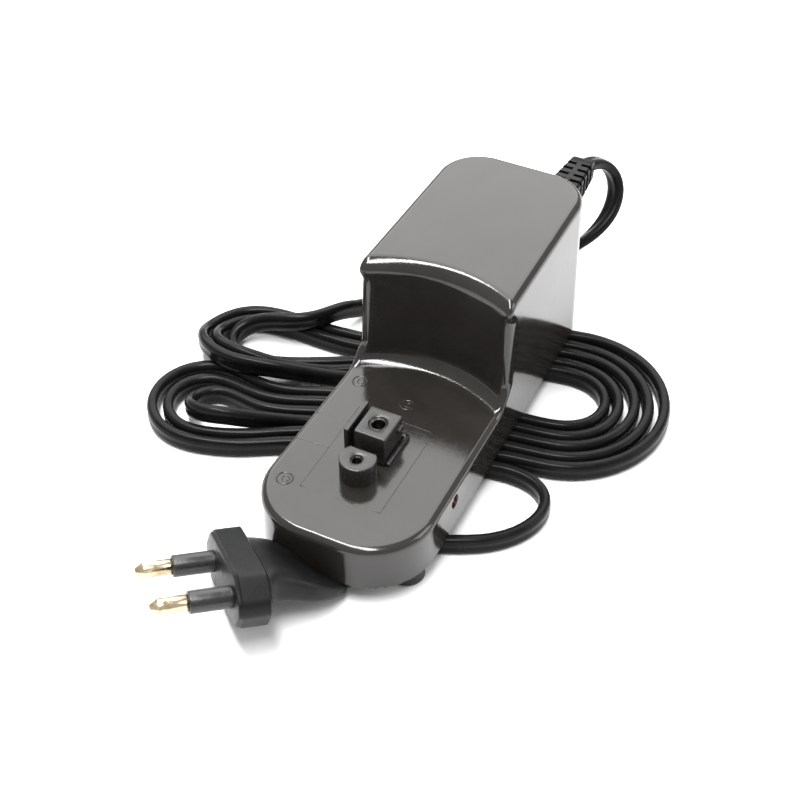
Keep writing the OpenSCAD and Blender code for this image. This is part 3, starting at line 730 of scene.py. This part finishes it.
# %% [markdown]
# ## Marks that moulding leaves on the deck
# Push-out pins leave small round rings, and a changeable part of the mould leaves a
# faint rectangle. They are thin raised lines: a half-round profile carried along a
# circle or a straight line, barely proud of the deck.

# %% Mould marks
def bead(path, half, high, base, closed):
    """A low rounded bead of a half width and height along a flat path."""
    if closed:
        t = np.roll(path, -1, axis=0) - np.roll(path, 1, axis=0)
    else:
        t = np.gradient(path, axis=0)
    t /= np.linalg.norm(t, axis=1, keepdims=True)
    n = np.stack([-t[:, 1], t[:, 0]], axis=1)
    a = np.linspace(0, 2 * np.pi, 8, endpoint=False)
    ring = path[:, None] + n[:, None] * (half * np.cos(a))[None, :, None]
    z = np.broadcast_to(base + high * np.sin(a), ring.shape[:2])
    rings = np.concatenate([ring, z[..., None]], axis=-1)
    if not closed:
        return rings_mesh(rings)
    rings = np.concatenate([rings, rings[:1]])
    pts, cols = rings[:-1].reshape(-1, 3), 8
    faces = np.array(grid_faces(len(rings), cols)) % len(pts)
    return pts, faces.tolist()


turn = np.linspace(0, 2 * np.pi, 40, endpoint=False)
marks = []
unit_ring = np.stack([np.cos(turn), np.sin(turn)], axis=1)
for x, y, r in ((-16.4, -7.2, 1.9), (-1.4, -10.0, 1.7), (-16.6, -46.7, 2.0)):
    marks.append(bead(np.array([x, y]) + r * unit_ring, 0.24, 0.16, Z_DECK, True))
    marks.append(bead(np.array([x + 0.3, y]) + 0.45 * r * unit_ring, 0.16, 0.11, Z_DECK, True))
lines = [((-12, -16), (9.3, -16.4)), ((9.3, -16.4), (9.6, -47.0)), ((9.6, -47.0), (-12, -47.3)), ((-12, -47.3), (-12, -16)),
         ((-21.6, -22.5), (-12, -22.0)), ((-21.4, -33.0), (-12, -32.6))]
for a, b in lines:
    marks.append(bead(np.linspace(a, b, 20), 0.09, 0.05, Z_DECK, False))
mould_marks = piece("mould_marks", *join_meshes([(q * MM, g) for q, g in marks]), slot="housing_abs")

# %% [markdown]
# ## Boot where the cord leaves the housing
# A moulded boot keeps the cord from kinking at the wall. It tapers, and slots cut from
# both sides leave a ladder of ribs with a spine along each broad face. It is a rounded
# outline carried rearwards: its size shrinks with the distance from the wall, and in
# the slots every part of the outline moves inwards except the spine.

# %% Boot
def even_outline(a, b, r, count=72):
    """A rounded rectangle of half sizes a and b with points evenly spaced along it."""
    t = np.linspace(0, 2 * np.pi, 720, endpoint=False)
    x = np.sign(np.cos(t)) * (a - r) + r * np.cos(t)
    y = np.sign(np.sin(t)) * (b - r) + r * np.sin(t)
    loop = np.stack([np.r_[x, x[0]], np.r_[y, y[0]]], axis=1)
    d = np.r_[0, np.cumsum(np.linalg.norm(np.diff(loop, axis=0), axis=1))]
    at = np.linspace(0, d[-1], count, endpoint=False)
    return np.stack([np.interp(at, d, loop[:, 0]), np.interp(at, d, loop[:, 1])], axis=1)


def boot_ring(y):
    """The boot's outline at a distance y from the middle of the pedal."""
    if y < 58.3:
        return even_outline(5.1, 4.7, 0.8)
    if y < 60.45:
        return even_outline(3.55, 3.15, 0.6)
    f = (y - 60.45) / 20.5
    a, b = 4.75 - 1.35 * f, 4.35 - 1.35 * f
    end = np.clip((y - 80.2) / 0.8, 0, 1)
    o = even_outline(a - 0.5 * end, b - 0.5 * end, 0.9)
    k = (y - 64.0) / 3.0
    deep = 1.0 if 0 <= k < 5 and (k % 1.0) < 0.42 else 0.0
    spine = np.exp(-((o[:, 0] / 1.15) ** 6))
    return o * (1 - 0.3 * deep * (1 - spine))[:, None]


ys = [54.0, 58.25, 58.3, 60.4, 60.45, 60.8]
for k in range(5):
    s = 64.0 + 3.0 * k
    ys += [s - 0.03, s, s + 1.24, s + 1.27]
ys += [80.2, 80.7, 80.95]
rings = np.stack([np.c_[boot_ring(y)[:, 0] + BOOT[0], np.full(72, y), boot_ring(y)[:, 1] + BOOT[1]] for y in ys])
p, f = rings_mesh(rings * MM)
boot = piece("cord_boot", p, [g[::-1] for g in f], slot="cord_pvc", stands_for=("strain_relief",))
boot.data.set_sharp_from_angle(angle=np.radians(40))

# %% [markdown]
# ## Plug
# The plug is moulded on the cord's end: a six-sided flange, a web behind it that
# narrows to the cord, and two round pins whose roots have black sleeves. The plug lies
# turned and tipped, so its parts are made along a straight x axis and then carried
# into place by one rotation, which goes into their points.

# %% Plug's place
PLUG_P, PLUG_YAW, PLUG_PITCH, PLUG_ROLL = np.array([-16.9, -76.7, 12.2]), 43.4, 7.7, 20.6


def turned(axis, degrees):
    """Rotation matrix about one coordinate axis."""
    c, s = np.cos(np.radians(degrees)), np.sin(np.radians(degrees))
    i, j = [(1, 2), (2, 0), (0, 1)][axis]
    m = np.eye(3)
    m[i, i], m[i, j], m[j, i], m[j, j] = c, -s, s, c
    return m


PLUG_TURN = turned(2, 180 + PLUG_YAW) @ turned(1, -PLUG_PITCH) @ turned(0, PLUG_ROLL)


def on_plug(p):
    """Points given along the pins, across them and through the flange, in the pedal's frame."""
    return np.asarray(p) @ PLUG_TURN.T + PLUG_P


def flange_outline(grow, count=96):
    """The six-sided flange with rounded corners, drawn in by grow: the corners come from smoothing an even line."""
    side, end, half_end, half_side = 13.05, 17.65, 1.6, 6.85
    c = np.array([[side, -half_side], [end, -half_end], [end, half_end], [side, half_side], [-side, half_side],
                  [-end, half_end], [-end, -half_end], [-side, -half_side], [side, -half_side]])
    c = c * (1 - grow / np.array([end, half_side]))
    o = even(c, 0.25)[:-1]
    for _ in range(14):
        o = (np.roll(o, 1, axis=0) + 2 * o + np.roll(o, -1, axis=0)) / 4
    pick = np.linspace(0, len(o), count, endpoint=False).astype(int)
    return o[pick]


xs = [-8.0, -7.75, -7.45, -1.1, -0.8, -0.45, -0.12, 0.0]
grow = [0.75, 0.3, 0.0, 0.0, 0.25, 0.35, 0.5, 0.75]
rings = np.stack([np.c_[np.full(96, x), flange_outline(g)] for x, g in zip(xs, grow)])
p, f = rings_mesh(rings)
flange = piece("plug_flange", on_plug(p) * MM, f, slot="plug_pvc", stands_for=("plug_body",))
flange.data.set_sharp_from_angle(angle=np.radians(28))

# %% [markdown]
# The web tapers from the flange to the cord. A table gives its middle line and its two
# half widths at eight places, and smoothing the table makes the bend gradual.

# %% Web behind the flange
stations = np.array([[-7.5, -0.6, 0, 13.2, 5.3], [-11, -0.6, -0.1, 12.6, 5.2], [-14, 0.4, -0.9, 10.8, 4.6],
                     [-17.35, 1.82, -2.03, 8.0, 3.8], [-20.62, 3.05, -3.34, 5.4, 3.0], [-23.8, 2.78, -4.58, 3.9, 2.3],
                     [-26.28, 1.51, -5.33, 3.1, 2.0], [-28.23, 0.11, -5.99, 2.95, 1.85]])
stations = smooth_line(even(stations, 0.6), 20)
neck_line = on_plug(stations[:, :3])
across = PLUG_TURN[:, 1][None] * np.ones((len(neck_line), 1))
_, wide_axis, thin_axis = tube_frames(neck_line, across)
a = np.linspace(0, 2 * np.pi, 56, endpoint=False)
u = stations[:, 3:4] * np.sign(np.cos(a)) * np.abs(np.cos(a)) ** 0.5
v = stations[:, 4:5] * np.sign(np.sin(a)) * np.abs(np.sin(a)) ** 0.6
p, f = rings_mesh(carry(neck_line, wide_axis, thin_axis, u, v) * MM)
web = piece("plug_web", p, [g[::-1] for g in f], slot="plug_pvc", stands_for=("plug_neck",))

# %% [markdown]
# Pins and sleeves are turned parts: a profile of distance and radius spun about the
# pin's axis. Both pins come from one profile, set 19 mm apart.

# %% Sleeves and pins
def turned_part(profile, y, count=40):
    """Rings from (x, radius) pairs about an axis along x at a sideways place y."""
    a = np.linspace(0, 2 * np.pi, count, endpoint=False)
    pr = np.asarray(profile, float)
    ring = np.stack([np.broadcast_to(pr[:, :1], (len(pr), count)), y + pr[:, 1:] * np.cos(a), pr[:, 1:] * np.sin(a)], axis=-1)
    return rings_mesh(ring)


PIN_PLACES = (-9.5, 9.5)


def pin_pair(profile):
    """The same turned part at both pin places, as one mesh in metres."""
    return join_meshes([(on_plug(q) * MM, g) for q, g in (turned_part(profile, y) for y in PIN_PLACES)])


sleeve_profile = [(-5, 2.7), (9.6, 2.7), (9.85, 2.64), (10, 2.45), (10, 2.05), (9.7, 1.98), (-4, 1.95)]
pin_profile = [(-5.5, 1.6), (9.0, 1.6), (9.3, 2.0), (16.7, 2.0), (17.2, 1.86), (18.1, 1.25), (18.55, 0.95),
               (18.75, 0.85), (18.95, 0.5), (19.0, 0.05)]
sleeves = piece("pin_insulation", *pin_pair(sleeve_profile), slot="sleeve_black", stands_for=("pin_sleeves",))
sleeves.data.set_sharp_from_angle(angle=np.radians(50))
pins = piece("plug_contacts", *pin_pair(pin_profile), slot="pin_brass", stands_for=("plug_pins",))

# %% [markdown]

# %% [markdown]
# ## Finishes
# The housing is a polished dark plastic, whose gloss shows hairline scratches that run
# in many directions and a little haze. The cord and plug are soft vinyl with less
# gloss. The inner parts get the finish of their real materials too.

# %% Housing finish
housing_abs, tree, shader, coords = finish("housing_abs")
cloud = noise(tree, coords, 45.0, 6.0, 0.62, 0.4)
tree.links.new(two_tone(tree, cloud, (0.0125, 0.0112, 0.0098), (0.0185, 0.017, 0.0155)), shader.inputs["Base Color"])
scratch_a = noise(tree, coords, 260.0, 3.0, 0.6, 0.6, stretch=(1.0, 9.0, 1.0))
scratch_b = noise(tree, coords, 240.0, 3.0, 0.6, 0.9, stretch=(8.0, 1.0, 1.0))
fine = math(tree, "MULTIPLY", scratch_a, scratch_b)
tree.links.new(remap(tree, math(tree, "ADD", cloud, fine), 0.45, 1.0, 0.05, 0.16), shader.inputs["Roughness"])
shader.inputs["Specular IOR Level"].default_value = 0.5
wave = bump(tree, shader, noise(tree, coords, 38.0, 2.0, 0.5), 0.25, 0.0002)
bump(tree, shader, fine, 0.4, 0.00006, before=wave)

# %% [markdown]
# Soft vinyl, moulded plastic and rubber differ mostly in gloss and grain, so one
# helper makes them all from a pair of dark tones, a roughness range and a grain size.

# %% Cord and plug finishes
cord_pvc = moulded("cord_pvc", (0.004, 0.004, 0.0042), (0.008, 0.008, 0.0082), (0.2, 0.3), 900.0, 0.00003, 0.09)
plug_pvc = moulded("plug_pvc", (0.004, 0.004, 0.0044), (0.008, 0.008, 0.0085), (0.28, 0.4), 2600.0, 0.00016, 0.16)
sleeve_black = moulded("sleeve_black", (0.010, 0.010, 0.010), (0.016, 0.016, 0.016), (0.2, 0.32), 1200.0, 0.00002, 0.5)
block_black = moulded("block_black", (0.012, 0.0112, 0.0105), (0.018, 0.017, 0.016), (0.22, 0.36), 1100.0, 0.00003, 0.5)
foot_rubber = moulded("foot_rubber", (0.012, 0.012, 0.012), (0.022, 0.022, 0.022), (0.6, 0.75), 1500.0, 0.00006, 0.3)
base_black = moulded("base_black", (0.014, 0.014, 0.014), (0.022, 0.021, 0.02), (0.4, 0.55), 1900.0, 0.00006, 0.45)
pin_brass = metal("pin_brass", (0.46, 0.35, 0.21), (0.82, 0.7, 0.5), (0.14, 0.3), lines=(1, 1, 1))
# The liners' metal is painted near black: painted shade standing in for the dark inside of the bores.
contact_metal = metal("contact_metal", (0.03, 0.028, 0.026), (0.09, 0.085, 0.078), (0.22, 0.36))

# %% [markdown]
# The inner parts are hidden when the housing is closed, but they are pieces of their
# own, and someone may take the shell off. Each gets the finish such a part has.

# %% Finishes of the inner parts
screw_steel = metal("screw_steel", (0.35, 0.35, 0.36), (0.6, 0.6, 0.62), (0.25, 0.4))
spring_steel = metal("spring_steel", (0.5, 0.5, 0.52), (0.72, 0.72, 0.75), (0.2, 0.35))
zinc_sheet = metal("zinc_sheet", (0.5, 0.52, 0.54), (0.72, 0.73, 0.74), (0.3, 0.5))
sink_aluminium = metal("sink_aluminium", (0.6, 0.61, 0.63), (0.8, 0.8, 0.82), (0.28, 0.42), lines=(1, 12, 1))
copper_wire = metal("copper_wire", (0.5, 0.22, 0.09), (0.75, 0.38, 0.18), (0.2, 0.35))
clip_brass = metal("clip_brass", (0.6, 0.46, 0.22), (0.82, 0.68, 0.4), (0.2, 0.35))
lever_nylon = moulded("lever_nylon", (0.5, 0.47, 0.4), (0.6, 0.57, 0.5), (0.35, 0.5))
slider_white = moulded("slider_white", (0.6, 0.6, 0.58), (0.72, 0.71, 0.69), (0.3, 0.45))
track_blue = moulded("track_blue", (0.03, 0.07, 0.22), (0.05, 0.11, 0.3), (0.35, 0.5))
board_green = moulded("board_green", (0.015, 0.10, 0.04), (0.025, 0.16, 0.06), (0.3, 0.45))
chip_black = moulded("chip_black", (0.012, 0.012, 0.013), (0.02, 0.02, 0.021), (0.4, 0.6))
cap_yellow = moulded("cap_yellow", (0.55, 0.33, 0.03), (0.7, 0.45, 0.06), (0.25, 0.4))
ferrite = moulded("ferrite", (0.03, 0.028, 0.027), (0.05, 0.047, 0.045), (0.5, 0.7))
resistor_body = moulded("resistor_body", (0.5, 0.38, 0.24), (0.62, 0.5, 0.34), (0.3, 0.45))
terminal_green = moulded("terminal_green", (0.05, 0.22, 0.1), (0.08, 0.3, 0.14), (0.35, 0.5))
holder_white = moulded("holder_white", (0.62, 0.62, 0.6), (0.74, 0.73, 0.71), (0.35, 0.5))
live_brown = moulded("live_brown", (0.10, 0.035, 0.015), (0.15, 0.055, 0.025), (0.3, 0.45))
neutral_blue = moulded("neutral_blue", (0.02, 0.08, 0.3), (0.04, 0.13, 0.4), (0.3, 0.45))
lamp_red = moulded("lamp_red", (0.5, 0.05, 0.05), (0.7, 0.12, 0.12), (0.12, 0.2))
fuse_glass = moulded("fuse_glass", (0.7, 0.74, 0.74), (0.8, 0.84, 0.84), (0.03, 0.08))
fuse_glass.node_tree.nodes["Principled BSDF"].inputs["Transmission Weight"].default_value = 0.9

# %% [markdown]
# ## Which piece wears which finish
# New pieces get their finish here in one table. A CAD node that stays visible keeps
# its shape, and only its material slot changes.

# %% Dress the pieces
for obj, mat in ((housing, housing_abs), (mould_marks, housing_abs), (block, block_black), (post, block_black), (collar, block_black),
                 (liner, contact_metal), (post_liner, contact_metal), (cord, cord_pvc), (boot, cord_pvc), (flange, plug_pvc),
                 (web, plug_pvc), (sleeves, sleeve_black), (pins, pin_brass)):
    obj.data.materials.append(mat)

NODE_FINISH = {
    "base_plate": base_black, "rubber_feet": foot_rubber, "base_screws": screw_steel, "return_spring": spring_steel,
    "rocker_lever": lever_nylon, "lever_pivot_pin": screw_steel, "lever_bracket": zinc_sheet, "bracket_screws": screw_steel,
    "speed_slider": slider_white, "slider_track": track_blue, "circuit_board": board_green, "board_screws": screw_steel,
    "triac": chip_black, "heat_sink": sink_aluminium, "film_capacitor": cap_yellow, "choke_core": ferrite,
    "choke_winding": copper_wire, "resistors": resistor_body, "fuse_tube": fuse_glass, "fuse_clips": clip_brass,
    "terminal_block": terminal_green, "terminal_screws": screw_steel, "pilot_lamp": lamp_red, "lamp_holder": holder_white,
    "cord_clamp": base_black, "clamp_screws": screw_steel, "live_wire": live_brown, "neutral_wire": neutral_blue,
}
for name, mat in NODE_FINISH.items():
    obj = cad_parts[name]
    for s in obj.material_slots:
        s.material = mat
    if not obj.material_slots:
        obj.data.materials.append(mat)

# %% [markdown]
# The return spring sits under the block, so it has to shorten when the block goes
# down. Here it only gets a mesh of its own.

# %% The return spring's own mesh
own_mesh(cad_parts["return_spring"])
print("finished nodes", len(NODE_FINISH), "of", len(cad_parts))
